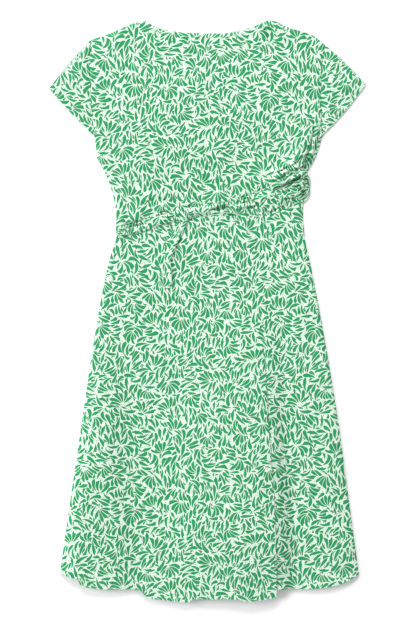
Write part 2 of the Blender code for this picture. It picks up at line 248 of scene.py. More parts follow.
def pack_leaves(seed, fans, long, wide, gap, upright=0.38):
    field = Packing(seed, gap)
    r = field.rng
    poles, tries = [], 0
    while len(poles) < fans and tries < 20000:
        tries += 1
        q = r.uniform(0, REPEAT, 2)
        if all(np.hypot(*(((q - p + REPEAT / 2) % REPEAT) - REPEAT / 2)) > 26 for p in poles):
            poles.append(q)
    for q in poles:
        base, count, step = r.normal(math.pi / 2, 0.55) + r.choice([0, math.pi]), r.integers(3, 6), r.uniform(0.34, 0.50)
        bend = r.choice([-1, 1]) * r.uniform(0.4, 1.6)
        for k in range(count):
            turn = base + (k - (count - 1) / 2) * step * r.uniform(0.9, 1.1)
            p = q + np.array([math.cos(turn), math.sin(turn)]) * r.uniform(2.8, 4.6)
            field.attempt(p, turn, long * r.uniform(0.85, 1.3), wide * r.uniform(0.85, 1.2), bend + r.uniform(-0.15, 0.15))
    i = 0
    while i < len(field.leaves):
        x, y, turn, size, _, bend = field.leaves[i]
        i += 1
        p, across = np.array([x, y]), np.array([-math.sin(turn), math.cos(turn)])
        head = np.array([math.cos(turn), math.sin(turn)])
        for side in (-1, 1):
            if r.uniform() < 0.45:
                off = side * (wide + gap) * r.uniform(0.75, 1.0)
                field.attempt(
                    p + across * off + head * r.uniform(-8, 8), turn + r.uniform(-0.5, 0.5),
                    long * r.uniform(0.75, 1.25), wide * r.uniform(0.8, 1.2), bend + r.uniform(-0.4, 0.4), (1.0, 0.9, 0.8),
                )
        if r.uniform() < 0.6:
            q = p + head * (size + gap + r.uniform(0.5, 2.5)) + across * r.uniform(-3, 3)
            field.attempt(
                q, turn + r.uniform(-1.0, 1.0), long * r.uniform(0.8, 1.2), wide * r.uniform(0.8, 1.2),
                r.uniform(-1.6, 1.6), (1.0, 0.9, 0.8),
            )
    for size, width, count in ((24.0, 5.6, 700), (21.5, 5.0, 12000), (18, 4.7, 12000), (15, 4.3, 12000), (12, 3.9, 12000), (9.7, 3.3, 14000), (7.5, 2.8, 16000), (6.0, 2.3, 16000)):
        p, bend = r.uniform(0, REPEAT, (count, 2)), r.choice([-1, 1], count) * r.uniform(0.1, 1.7, count)
        turn = np.where(r.uniform(size=count) < upright, math.pi / 2 + r.normal(0, 0.6, count) + math.pi * r.integers(0, 2, count), r.uniform(0, 2 * math.pi, count))
        sizes, widths = size * r.uniform(0.92, 1.1, count), width * r.uniform(0.8, 1.15, count)
        for j in np.nonzero(field.fits(p, turn, sizes, widths, bend))[0]:
            if field.fits(p[j : j + 1], turn[j : j + 1], sizes[j : j + 1], widths[j : j + 1], bend[j : j + 1])[0]:
                field.put(p[j], turn[j], sizes[j], widths[j], bend[j])
    for size, width in ((3.2, 1.7), (2.3, 1.4)):
        p, turn, none = r.uniform(0, REPEAT, (9000, 2)), r.uniform(0, 2 * math.pi, 9000), np.zeros(9000)
        for j in np.nonzero(field.fits(p, turn, np.full(9000, size), np.full(9000, width), none))[0]:
            if field.fits(p[j : j + 1], turn[j : j + 1], np.array([size]), np.array([width]), none[:1])[0]:
                field.put(p[j], turn[j], size, width, 0.0, gap * 0.8)
    return np.array(field.leaves)


def nearest_leaf(leaves):
    """For each cell of the repeat, the leaf that it is nearest to."""
    near, owner = np.full((CELLS, CELLS), 1e9), np.full((CELLS, CELLS), -1, int)
    at = np.linspace(0, 1, 10)
    mid = midline(leaves[:, :2], leaves[:, 2], leaves[:, 3], leaves[:, 5], at)[0]
    for i in range(len(leaves)):
        half = leaves[i, 4] / 2 * leaf_half(at) * 0.8
        low = np.floor((mid[i].min(0) - 6) / CELL).astype(int)
        high = np.ceil((mid[i].max(0) + 6) / CELL).astype(int)
        gx, gy = (np.arange(low[0], high[0]) + 0.5) * CELL, (np.arange(low[1], high[1]) + 0.5) * CELL
        best = np.full((len(gy), len(gx)), 1e9)
        for k in range(len(at) - 1):
            a, b = mid[i, k], mid[i, k + 1]
            ab = b - a
            t = np.clip(((gx[None, :] - a[0]) * ab[0] + (gy[:, None] - a[1]) * ab[1]) / (ab**2).sum(), 0, 1)
            away = np.hypot(gx[None, :] - a[0] - t * ab[0], gy[:, None] - a[1] - t * ab[1])
            best = np.minimum(best, away - (half[k] + t * (half[k + 1] - half[k])))
        where = np.ix_(np.arange(low[1], high[1]) % CELLS, np.arange(low[0], high[0]) % CELLS)
        block, names = near[where], owner[where]
        closer = best < block
        block[closer], names[closer] = best[closer], i
        near[where], owner[where] = block, names
    return owner


def let_out(leaves, gap, most, grow=3.5):
    """Outlines of the leaves, each grown to half the gap from the cells of its neighbours."""
    owner = nearest_leaf(leaves)
    big = leaves[:, 3] > 4.5
    steps = np.arange(0, 8, 0.2)

    def room(start, way):
        points = start[..., None, :] + way[..., None, :] * steps[:, None]
        ij = np.floor(points / CELL).astype(int) % CELLS
        whose = owner[ij[..., 1], ij[..., 0]]
        out = whose != np.arange(len(leaves)).reshape((-1,) + (1,) * (whose.ndim - 1))
        out[..., -1] = True
        return steps[out.argmax(-1)]

    mid, head = midline(leaves[:, :2], leaves[:, 2], leaves[:, 3], leaves[:, 5])
    along = np.stack([np.cos(head), np.sin(head)], -1)
    tail = np.clip(room(mid[:, -1], along[:, -1]) - gap / 2, 0, grow) * big
    tip = np.clip(room(mid[:, 0], -along[:, 0]) - gap / 2, 0, grow * 0.6) * big
    out = leaves.copy()
    out[:, 0] -= np.cos(head[:, 0]) * tip
    out[:, 1] -= np.sin(head[:, 0]) * tip
    out[:, 3] = leaves[:, 3] + tail + tip
    out[:, 5] = leaves[:, 5] * out[:, 3] / leaves[:, 3]
    out[:, 2] = leaves[:, 2] - leaves[:, 5] / 2 - leaves[:, 5] * tip / leaves[:, 3] + out[:, 5] / 2
    mid, head = midline(out[:, :2], out[:, 2], out[:, 3], out[:, 5])
    across = np.stack([-np.sin(head), np.cos(head)], -1)
    # the broad end is cut off at a slant, with a sharp corner on one side
    broad = np.where(ALONG < 0.86, HALVES, 0.96)
    plain = out[:, 4:5] / 2 * broad[None, :]
    limit = np.where(big[:, None], plain * most + 0.25 * (ALONG > 0.1), plain)
    r = np.random.default_rng(3)
    sharp_side, slant = r.choice([-1, 1], len(leaves)), r.uniform(0.3, 2.2, len(leaves))
    sides = []
    for sign, way in ((1, across), (-1, -across)):
        wide = np.clip(room(mid, way) - gap / 2, plain * 0.35, limit)
        wide[:, 1:-1] = 0.25 * wide[:, :-2] + 0.5 * wide[:, 1:-1] + 0.25 * wide[:, 2:]
        wide[:, -1] = np.minimum(wide[:, -1], wide[:, -2])
        wide[:, 0] = 0
        held = (sharp_side != sign) * slant * np.minimum(wide[:, -2], out[:, 3] * 0.2)
        back = held[:, None] * np.clip((ALONG - 0.6) / 0.4, 0, 1) ** 1.3
        round_off = np.where(ALONG > 0.95, np.where(sharp_side == sign, 0.97, 0.80)[:, None], 1.0)
        sides.append(mid + way * (wide * round_off)[..., None] - along * back[..., None])
    left, right = sides
    # the corners run anticlockwise
    return np.concatenate([right, left[:, :0:-1]], 1), out[:, 3]


LEAVES, LEAF_SIZE = let_out(pack_leaves(seed=11, fans=50, long=18.0, wide=4.8, gap=0.85), gap=1.0, most=1.85)
LEAF_CORNERS = [  # small specks need fewer corners
    outline[::3] if size <= 4.5 else outline
    for outline, size in zip(LEAVES, LEAF_SIZE)
]


def leaves_over(low, high, shift=(0.0, 0.0), turn=0.0, scale=1.0):
    """All the leaves of the repeated print that touch a rectangle of cloth."""
    c, s = math.cos(turn), math.sin(turn)
    spin = np.array([[c, -s], [s, c]]) * scale
    back = np.linalg.inv(spin)
    corners = np.array([(low[0], low[1]), (high[0], low[1]), (high[0], high[1]), (low[0], high[1])]) - shift
    corners = corners @ back.T
    i0, i1 = np.floor(corners.min(0) / REPEAT).astype(int) - 1, np.floor(corners.max(0) / REPEAT).astype(int) + 1
    out = []
    for i in range(i0[0], i1[0] + 1):
        for j in range(i0[1], i1[1] + 1):
            for leaf in LEAF_CORNERS:
                placed = (leaf + (i * REPEAT, j * REPEAT)) @ spin.T + shift
                if (placed.max(0) > low).all() and (placed.min(0) < high).all():
                    out.append(placed)
    return out


# ------------------------------------------------------------------ materials
def colour(r, g, b):
    """A colour given as it looks on a screen, 0 to 255."""
    return tuple((v / 255 / 12.92 if v / 255 <= 0.04045 else ((v / 255 + 0.055) / 1.055) ** 2.4) for v in (r, g, b)) + (1.0,)


def cloth_material(name, base, other, roughness=0.92, weave=0.10):
    """Fine plain weave: a slightly uneven colour and a thread relief in the cloth's own coordinates."""
    made = bpy.data.materials.new(name)
    made.use_nodes = True
    tree = made.node_tree
    nodes, links = tree.nodes, tree.links
    shader = nodes["Principled BSDF"]
    shader.inputs["Roughness"].default_value = roughness
    shader.inputs["Specular IOR Level"].default_value = 0.18
    where = nodes.new("ShaderNodeUVMap")
    where.uv_map = "Cloth"
    uneven = nodes.new("ShaderNodeTexNoise")
    uneven.inputs["Scale"].default_value = 220.0
    uneven.inputs["Detail"].default_value = 3.0
    links.new(where.outputs["UV"], uneven.inputs["Vector"])
    ramp = nodes.new("ShaderNodeValToRGB")
    ramp.color_ramp.elements[0].position = 0.3
    ramp.color_ramp.elements[0].color = base
    ramp.color_ramp.elements[1].position = 0.75
    ramp.color_ramp.elements[1].color = other
    links.new(uneven.outputs["Fac"], ramp.inputs["Fac"])
    links.new(ramp.outputs["Color"], shader.inputs["Base Color"])
    if weave:
        turn = nodes.new("ShaderNodeSeparateXYZ")
        links.new(where.outputs["UV"], turn.inputs["Vector"])
        waves = []
        for axis in ("X", "Y"):
            times = nodes.new("ShaderNodeMath")
            times.operation = "MULTIPLY"
            times.inputs[1].default_value = 2 * math.pi / 0.00045
            links.new(turn.outputs[axis], times.inputs[0])
            wave = nodes.new("ShaderNodeMath")
            wave.operation = "SINE"
            links.new(times.outputs[0], wave.inputs[0])
            waves.append(wave)
        both = nodes.new("ShaderNodeMath")
        both.operation = "MULTIPLY"
        links.new(waves[0].outputs[0], both.inputs[0])
        links.new(waves[1].outputs[0], both.inputs[1])
        bump = nodes.new("ShaderNodeBump")
        bump.inputs["Strength"].default_value = weave
        bump.inputs["Distance"].default_value = 0.0001
        links.new(both.outputs[0], bump.inputs["Height"])
        links.new(bump.outputs["Normal"], shader.inputs["Normal"])
    return made


GROUND = cloth_material("print_ground", colour(212, 231, 215), colour(208, 227, 211))
LEAF = cloth_material("print_leaf", colour(40, 140, 88), colour(46, 147, 94))
WRONG = cloth_material("wrong_side", colour(176, 213, 188), colour(190, 222, 200))
THREAD = cloth_material("thread", colour(218, 232, 220), colour(207, 224, 211), weave=0.0)


# ------------------------------------------------------------ cutting a piece
def inside(rim, points):
    """Which points lie inside a closed outline."""
    x, y = points[:, 0], points[:, 1]
    out = np.zeros(len(points), bool)
    for (x0, y0), (x1, y1) in zip(rim, np.roll(rim, -1, 0)):
        if y0 == y1:
            continue
        cross = ((y0 > y) != (y1 > y)) & (x < (x1 - x0) * (y - y0) / (y1 - y0) + x0)
        out ^= cross
    return out


def triangles(rim, leaves, points):
    """Cuts the cloth inside the outline into triangles along the leaves' outlines.

    Returns the flat points, the triangles, which ones are ink, and for each
    input outline point its place among the flat points.
    """
    verts, faces = [Vector(p) for p in rim], [list(range(len(rim)))]
    for leaf in leaves:
        faces.append(list(range(len(verts), len(verts) + len(leaf))))
        verts.extend(Vector(p) for p in leaf)
    verts.extend(Vector(p) for p in points)
    flat, _, tris, came, _, whose = delaunay_2d_cdt(verts, [], faces, 1, 1e-4, True)
    flat = np.array([tuple(p) for p in flat])
    keep = [i for i, (t, f) in enumerate(zip(tris, whose)) if 0 in f and len(t) == 3]
    tri = np.array([tris[i] for i in keep], int)
    ink = np.array([len(whose[i]) > 1 for i in keep])
    a, b, c = flat[tri[:, 0]], flat[tri[:, 1]], flat[tri[:, 2]]
    area = 0.5 * ((b[:, 0] - a[:, 0]) * (c[:, 1] - a[:, 1]) - (b[:, 1] - a[:, 1]) * (c[:, 0] - a[:, 0]))
    tri[area < 0] = tri[area < 0][:, ::-1]
    origin = {}
    for i, sources in enumerate(came):
        for source in sources:
            if source < len(rim):
                origin[source] = i
    used = np.unique(tri)
    renumber = np.full(len(flat), -1)
    renumber[used] = np.arange(len(used))
    return flat[used], renumber[tri], ink, np.array([renumber[origin.get(i, 0)] for i in range(len(rim))])


def edge_loop(tri):
    """The points round the edge of the triangles, in order."""
    pairs = np.concatenate([tri[:, [0, 1]], tri[:, [1, 2]], tri[:, [2, 0]]])
    edges = set(map(tuple, pairs.tolist()))
    after = {a: b for a, b in edges if (b, a) not in edges}
    first = next(iter(sorted(after)))
    loops, left = [], dict(after)
    while left:
        start = first if first in left else next(iter(sorted(left)))
        loop, at = [], start
        while at in left:
            loop.append(at)
            at = left.pop(at)
        loops.append(loop)
    return max(loops, key=len)


def grid_points(rim, step, fine=None, fine_step=2.5):
    low, high = rim.min(0), rim.max(0)

    def grid(size):
        x, y = np.meshgrid(np.arange(low[0] + size / 2, high[0], size), np.arange(low[1] + size / 2, high[1], size))
        x = x + (np.arange(x.shape[0]) % 2)[:, None] * size / 2
        return np.stack([x.ravel(), y.ravel()], 1)

    coarse = grid(step)
    if fine is not None:
        close = grid(fine_step)
        coarse = np.concatenate([coarse[~fine(coarse[:, 0], coarse[:, 1])], close[fine(close[:, 0], close[:, 1])]])
    return coarse[inside(rim, coarse)]


def normals(lay, flat, e=0.3):
    s, w = flat[:, 0], flat[:, 1]
    a = np.stack(lay(s + e, w), 1) - np.stack(lay(s - e, w), 1)
    b = np.stack(lay(s, w + e), 1) - np.stack(lay(s, w - e), 1)
    n = np.cross(a, b)
    return n / np.maximum(np.linalg.norm(n, axis=1), 1e-9)[:, None]


def make_mesh(name, parts, materials):
    """One mesh from parts of (points, triangles, normals and flat points of their corners, material numbers)."""
    co, tri, no, uv, mat = [], [], [], [], []
    base = 0
    for points, faces, normal, flat, which in parts:
        co.append(points)
        tri.append(faces + base)
        no.append(normal)
        uv.append(flat)
        mat.append(which)
        base += len(points)
    co, tri, no, uv, mat = (np.concatenate(v) for v in (co, tri, no, uv, mat))
    mesh = bpy.data.meshes.new(name)
    mesh.vertices.add(len(co))
    mesh.vertices.foreach_set("co", (co * MM).astype(np.float32).ravel())
    mesh.loops.add(tri.size)
    mesh.loops.foreach_set("vertex_index", tri.astype(np.int32).ravel())
    mesh.polygons.add(len(tri))
    mesh.polygons.foreach_set("loop_start", np.arange(0, tri.size, 3, dtype=np.int32))
    for m in materials:
        mesh.materials.append(m)
    mesh.polygons.foreach_set("material_index", mat.astype(np.int32))
    layer = mesh.uv_layers.new(name="Cloth")
    layer.data.foreach_set("uv", (uv * MM).astype(np.float32).ravel())
    mesh.update(calc_edges=True)
    mesh.shade_smooth()
    mesh.normals_split_custom_set(no.reshape(-1, 3).astype(np.float32))
    made = bpy.data.objects.new(name, mesh)
    bpy.context.scene.collection.objects.link(made)
    return made


def shell(rim, lay, leaves, step=7.0, fine=None, fine_step=2.5, wall=0.5, printed=1, extra=None, wrong_step=11.0):
    """The parts of one layer of cloth: the printed face, the wrong side and the cut edge."""
    rim = np.asarray(rim, float)
    points = grid_points(rim, step, fine, fine_step)
    if extra is not None:
        points = np.concatenate([points, extra[inside(rim, extra)]])
    flat, tri, ink, _ = triangles(rim, leaves, points)
    loop = np.array(edge_loop(tri))
    rim2 = flat[loop]
    back_points = grid_points(rim2, wrong_step, fine, fine_step * 1.8)
    if extra is not None:
        back_points = np.concatenate([back_points, extra[inside(rim2, extra)]])
    flat_b, tri_b, _, place_b = triangles(rim2, [], back_points)
    n, n_b = normals(lay, flat), normals(lay, flat_b)
    face = np.stack(lay(flat[:, 0], flat[:, 1]), 1) + n * wall / 2 * printed
    wrong = np.stack(lay(flat_b[:, 0], flat_b[:, 1]), 1) - n_b * wall / 2 * printed
    k, base = len(loop), len(face)
    nxt = (np.arange(k) + 1) % k
    out = np.cross(face[loop][nxt] - face[loop], n[loop])
    out /= np.maximum(np.linalg.norm(out, axis=1), 1e-9)[:, None]
    up, low = loop, place_b + base
    edge = np.concatenate([np.stack([up, low, up[nxt]], 1), np.stack([up[nxt], low, low[nxt]], 1)])
    edge_n = np.concatenate([np.repeat(out[:, None], 3, 1)] * 2)
    edge_uv = np.concatenate([np.stack([rim2, rim2, rim2[nxt]], 1), np.stack([rim2[nxt], rim2, rim2[nxt]], 1)])
    faces = np.concatenate([tri, tri_b[:, ::-1] + base, edge])
    corner_n = np.concatenate([(n * printed)[tri], (-n_b * printed)[tri_b[:, ::-1]], edge_n])
    corner_uv = np.concatenate([flat[tri], flat_b[tri_b[:, ::-1]], edge_uv])
    which = np.concatenate([ink.astype(int), np.full(len(tri_b), 2), np.zeros(len(edge), int)])
    if printed < 0:
        faces, corner_n, corner_uv = faces[:, ::-1], corner_n[:, ::-1], corner_uv[:, ::-1]
    return [(np.concatenate([face, wrong]), faces, corner_n, corner_uv, which)]


def plan(x, down, z):
    return x, HALF - down, z


def rim_of(*runs):
    """One closed outline from runs of (s, w) points, its repeated corners left out."""
    points = np.concatenate([np.asarray(run, float) for run in runs])
    keep = np.hypot(*(points - np.roll(points, 1, 0)).T) > 0.05
    return points[keep]


def resample(points, step):
    points = np.asarray(points, float)
    far = np.concatenate([[0], np.cumsum(np.hypot(*np.diff(points, axis=0).T))])
    at = np.linspace(0, far[-1], max(2, int(round(far[-1] / step)) + 1))
    return np.stack([np.interp(at, far, points[:, 0]), np.interp(at, far, points[:, 1])], 1)


BASE = 1.65  # middle of the front layer where it lies on the back layer
FULL = 3.4  # air between the two layers
BUNCH = (171.0, 292.0)
# Tucks and creases of the gathered waist: depth, half width, then the line
# (x, down) along the bottom of each.
TUCKS = [
    (3.6, 1.9, (-144.4, 364.8), (-130.4, 361.3), (-118.0, 358.0), (-107.0, 355.0)),
    (1.6, 1.2, (-155.0, 381.5), (-142.6, 378.0), (-118.0, 372.8), (-98.9, 367.5)),
    (2.6, 1.3, (-109.4, 318.5), (-97.1, 315.0)),
    (1.8, 1.3, (-90.0, 309.8), (-69.0, 316.8)),
    (2.6, 1.4, (-86.6, 337.8), (-74.0, 335.0), (-62.0, 336.0)),
    (2.0, 1.2, (-84.9, 357.0), (-55.1, 360.5)),
    (4.2, 1.6, (-39.4, 326.4), (-28.9, 325.0)),
    (2.6, 1.4, (-36.0, 344.8), (-22.0, 351.8)),
    (7.6, 2.6, (9.4, 332.2), (23.6, 329.2), (36.9, 324.9)),
    (2.0, 1.2, (28.9, 341.2), (49.9, 341.2)),
    (2.2, 1.2, (44.6, 325.5), (56.9, 315.0), (70.9, 311.5), (84.9, 320.2), (95.4, 332.5)),
    (2.6, 1.2, (60.4, 320.2), (72.6, 316.8)),
    (1.6, 1.1, (98.0, 312.0), (112.0, 316.0), (122.0, 308.0)),
    (6.8, 1.7, (121.6, 294.2), (133.9, 288.6), (144.4, 283.7), (154.9, 278.9), (164.4, 274.5)),
    (5.0, 1.5, (154.9, 292.2), (167.1, 288.8)),
    (3.4, 1.5, (124.0, 285.0), (136.0, 279.0), (150.0, 271.5)),
    (3.0, 1.5, (127.0, 274.5), (140.0, 268.0), (153.0, 261.5)),
    (2.6, 1.4, (143.0, 259.0), (154.0, 251.0), (163.0, 242.0)),
    (3.0, 1.3, (116.0, 282.0), (129.0, 276.0), (141.0, 270.0)),
    (2.8, 1.3, (134.0, 278.0), (146.0, 272.0), (157.0, 266.5)),
    (2.6, 1.3, (121.0, 268.0), (133.0, 262.0), (143.0, 255.5)),
    (2.8, 1.3, (149.0, 267.0), (158.0, 260.5), (165.0, 252.5)),
    (13.0, 3.1, (170.6, 277.5), (173.4, 286.5), (173.4, 296.5)),
    (1.5, 1.2, (95.4, 344.8), (112.9, 336.0), (132.1, 325.5)),
    (2.0, 1.2, (128.0, 303.0), (141.0, 299.0), (152.0, 303.5)),
    (2.0, 1.2, (136.0, 314.0), (150.0, 311.0), (163.0, 314.5)),
    (3.0, 1.5, (160.0, 262.0), (165.4, 257.3), (172.0, 259.0)),
    (2.4, 1.4, (168.0, 250.0), (174.1, 246.8), (181.5, 242.0)),
    (2.4, 1.4, (158.0, 247.0), (172.4, 236.3), (180.0, 229.3)),
    (2.6, 1.4, (150.0, 274.5), (158.0, 268.5), (165.0, 266.0)),
    (1.6, 1.3, (137.4, 262.5), (151.4, 253.8), (160.0, 250.0)),
    (3.3, 1.7, (176.0, 262.0), (185.0, 240.0), (192.0, 216.0), (196.5, 188.0), (199.0, 172.0)),
    (2.6, 1.6, (166.0, 256.0), (176.0, 232.0), (183.0, 208.0), (187.0, 180.0)),
    (1.4, 1.4, (155.0, 262.0), (166.0, 240.0), (172.0, 222.0)),
    (3.2, 2.2, (96.5, 10.0), (102.0, 20.0), (108.0, 33.0)),
    (2.0, 1.6, (104.0, 8.0), (109.5, 17.0), (113.0, 27.0)),
    (4.2, 1.8, (-146.0, 360.0), (-136.0, 357.0), (-126.0, 354.0), (-112.0, 350.0)),
    (2.4, 1.6, (-84.0, 342.5), (-70.0, 346.0), (-56.0, 344.0)),
    (2.2, 1.6, (52.0, 335.0), (66.0, 329.0), (80.0, 327.0), (94.0, 321.0)),
    (2.0, 1.6, (88.0, 341.0), (97.0, 352.0), (101.0, 366.0)),
    (1.7, 1.7, (-47.5, 378.0), (-52.0, 392.0), (-57.5, 406.0), (-61.5, 421.0), (-62.5, 438.0), (-62.0, 452.0), (-64.0, 468.0)),
]
for _ray in range(11):
    _a = math.pi * (0.52 + 0.095 * _ray)
    _c, _s = math.cos(_a), -math.sin(_a)
    TUCKS.append((3.2 + 0.7 * math.sin(_ray * 2.3), 0.85, (171.5 + 4.5 * _c, 292.0 + 4.5 * _s), (171.5 + 15.5 * _c, 292.0 + (15.5 + 3 * math.sin(_ray * 1.7)) * _s)))


def tucks(x, down):
    """How the creases of the waist lower the cloth, and lift it at their sides."""
    x, down = np.asarray(x, float), np.asarray(down, float)
    out = np.zeros_like(x)
    near = ((down > 150) & (down < 485) | (down < 50)) & (np.abs(x) < 200)
    px, pd = x[near], down[near]
    deep, high = np.zeros_like(px), np.zeros_like(px)
    for depth, half, *line in TUCKS:
        depth, half = depth * 1.2, half * 1.25
        line = np.array(line)
        a, b = line[:-1], line[1:]
        long = np.hypot(*(b - a).T)
        start = np.concatenate([[0], np.cumsum(long)[:-1]])
        best, at, way = np.full(px.shape, 1e9), np.zeros(px.shape), np.zeros(px.shape)
        for (ax, ad), (bx, bd), l, s0 in zip(a, b, long, start):
            t = ((px - ax) * (bx - ax) + (pd - ad) * (bd - ad)) / l**2
            tc = np.clip(t, 0, 1)
            dx, dd = px - ax - tc * (bx - ax), pd - ad - tc * (bd - ad)
            d = np.hypot(dx, dd)
            closer = d < best
            best, at = np.where(closer, d, best), np.where(closer, (s0 + tc * l) / long.sum(), at)
            way = np.where(closer, 0.45 * dx + 0.9 * dd, way)
        fade = smooth(at * 3.5) * smooth((1 - at) * 3.5) * 0.75 + 0.25
        # the upper cloth stands higher than the cloth it falls over
        upper = smooth(0.5 - way / (1.6 * half))
        deep = np.maximum(deep, fade * depth * 1.2 * np.exp(-((best / half) ** 2)))
        high = np.maximum(high, fade * depth * (0.08 + 0.74 * upper) * np.exp(-((best / (4.2 * half)) ** 2)))
    out[near] = high - deep
    return out


def tuck_points(lay, low, high, spacing, reach):
    """Flat points, close together, of the cloth that lies along a crease."""
    s, w = np.meshgrid(np.arange(low[0], high[0], spacing), np.arange(low[1], high[1], spacing))
    s, w = s.ravel(), w.ravel()
    x, y, _ = lay(s, w)
    keep = close_to_tucks(x, HALF - y, reach)
    return np.stack([s[keep], w[keep]], 1)


def pocket(x, down):
    """Distance below the deep fold at the right end of the waist, and how much of it is there."""
    return down - (292.8 - 0.46 * (x - 121.3)), smooth((x - 112.0) / 14.0) * smooth((177.0 - x) / 12.0)


def ties_top(x):
    return np.interp(x, [-160, -146, -132, -118, -88, -50, -12, 26, 66, 106], [361.5, 357, 353.5, 350.5, 343, 331, 326, 319.5, 309, 291.5])


def blouse(x, down):
    """The bodice where it is fullest above the ties and falls over their upper edge."""
    past = down - ties_top(x)
    full = sum(h * np.exp(-(((x - at) / wide) ** 2)) for h, at, wide in ((4.2, -126.0, 19.0), (2.0, -78.0, 14.0), (1.6, -36.0, 10.0), (2.6, 22.0, 17.0), (1.8, 62.0, 12.0), (1.8, 92.0, 12.0)))
    fall = np.where(past < -7, np.exp(-(((past + 7) / 21.0) ** 2)), 1.0)
    return full * fall * smooth((1.0 - past) / 3.2)


def close_to_tucks(x, down, reach=5.0):
    """Which points lie where the waist is gathered and needs closer points."""
    out = np.zeros(np.shape(x), bool)
    for _, _, *line in TUCKS:
        line = np.array(line)
        for (ax, ad), (bx, bd) in zip(line[:-1], line[1:]):
            t = np.clip(((x - ax) * (bx - ax) + (down - ad) * (bd - ad)) / ((bx - ax) ** 2 + (bd - ad) ** 2), 0, 1)
            out |= np.hypot(x - ax - t * (bx - ax), down - ad - t * (bd - ad)) < reach
    return out



# --------------------------------------------------------------------- skirt
FOLD = table(
    "down x",
    (400.0, 78.0), (490.0, 88.4), (533.8, 94.4), (630.0, 102.4), (735.0, 109.4), (840.0, 117.1), (940.0, 121.0), (1030.0, 122.5),
)
# Section of the lapped fold: out to its edge, back under it, and on again.
LAP = np.array([
    (-24, 0.0), (-17, -0.1), (-10, -0.4), (-5, -0.9), (-2, -1.4), (-0.4, -2.0), (0.0, -2.5), (-0.8, -3.0), (-3.0, -3.3),
    (-5.0, -3.4), (-6.9, -3.7), (-7.8, -4.1), (-7.4, -4.6), (-5.6, -4.8), (-2.0, -4.9), (3.0, -4.9), (12, -4.9), (24, -4.9),
], float)


def rounded_line(points, times=3):
    for _ in range(times):
        q = 0.75 * points[:-1] + 0.25 * points[1:]
        r = 0.25 * points[:-1] + 0.75 * points[1:]
        points = np.concatenate([points[:1], np.stack([q, r], 1).reshape(-1, 2), points[-1:]])
    return points


LAP[:, 1] *= 0.72
LAP = rounded_line(LAP)
LAP_AT = np.concatenate([[0], np.cumsum(np.hypot(*np.diff(LAP, axis=0).T))])
LAP_LONG = LAP_AT[-1]
HIDDEN = LAP_LONG - 48.0


def fold_x(down):
    return curve(FOLD["down"], FOLD["x"], down)


def lapped(down):
    return smooth((down - 480) / 300.0)


def hem(x):
    return np.where(x < 122.0, curve(HEM_LEFT["x"], HEM_LEFT["down"], x), curve(HEM_RIGHT["x"], HEM_RIGHT["down"], x))


def skirt_height(x, down, s, creased=1.0):
    share = share_across(x, down)
    low = smooth((down - 430) / 330.0)
    a = lapped(down)
    crest = (3.0 * a + 13.4 * smooth((down - 430) / 400.0)) * (1 - 0.30 * smooth((down - 900) / 110.0))
    drop = -LAP[-1, 1] * a
    beyond = x - fold_x(down)
    flute = np.where(
        beyond > 0, (crest - drop) * (1 - smooth((beyond - 1) / 33.0)), crest * smooth((share - 0.205) / 0.42)
    )
    groove = -1.5 * smooth((down - 470) / 60.0) * (1 - smooth((down - 690) / 80.0)) * np.exp(-(((beyond - 1.0) / 2.6) ** 2)) * (0.65 + 0.35 * np.sin(down / 13.0))
    left = 7.4 * smooth((down - 470) / 330.0) * smooth((x - left_edge(down) + 6) / 34.0) * (1 - smooth((x + 178.0 - 0.04 * (down - 735)) / 50.0))
    right = 3.6 * smooth((down - 520) / 330.0) * hump(share, 0.78, 0.88, 0.92, 1.04)
    soft = 0.7 * low * ripple(s, down, 95, 3, stretch=3.5) + 0.34 * ripple(s, down, 42, 4, stretch=3.0)
    edge = np.minimum(rounded(x - left_edge(down), 8.0), rounded(right_edge(down) - x, 9.0))
    below = down - waist(x)
    free = smooth(below / 75.0)
    gathers = (1.0 * np.exp(-np.clip(below, 0, None) / 42.0)) * np.sin(2 * math.pi * s / 15.5 + 1.6 * ripple(s, down, 70, 6))
    lift = FULL * (0.5 + 0.5 * free) + flute + left + right + groove + soft + gathers * smooth((below - 2) / 14.0)
    if creased:
        lift = lift + np.minimum(tucks(x, down), 0.0)
    near_hem = hem(x) - down
    return BASE + drop * (beyond > 0) + np.clip(lift, 0.0, None) * edge + 0.35 * (1 - smooth((near_hem - 13.5) / 1.8)) * edge


def lay_skirt(s, w):
    down = -w
    a, xf = lapped(down), fold_x(down)
    q = s - (xf - 24)
    dx = np.where(q < 0, q - 24, np.where(q > LAP_LONG, 24 + q - LAP_LONG, np.interp(q, LAP_AT, LAP[:, 0])))
    dz = np.where(q < 0, 0.0, np.where(q > LAP_LONG, LAP[-1, 1], np.interp(q, LAP_AT, LAP[:, 1])))
    x = xf + (1 - a) * (q - 24) + a * dx
    return plan(x, down, skirt_height(x, down, s) + a * dz)


def in_skirt_cloth(x, down, right=None):
    """Where a point of the laid skirt is on the flat cloth."""
    right = x > fold_x(down) if right is None else right
    return np.stack([x + np.where(right, lapped(down) * HIDDEN, 0.0), -down], 1)


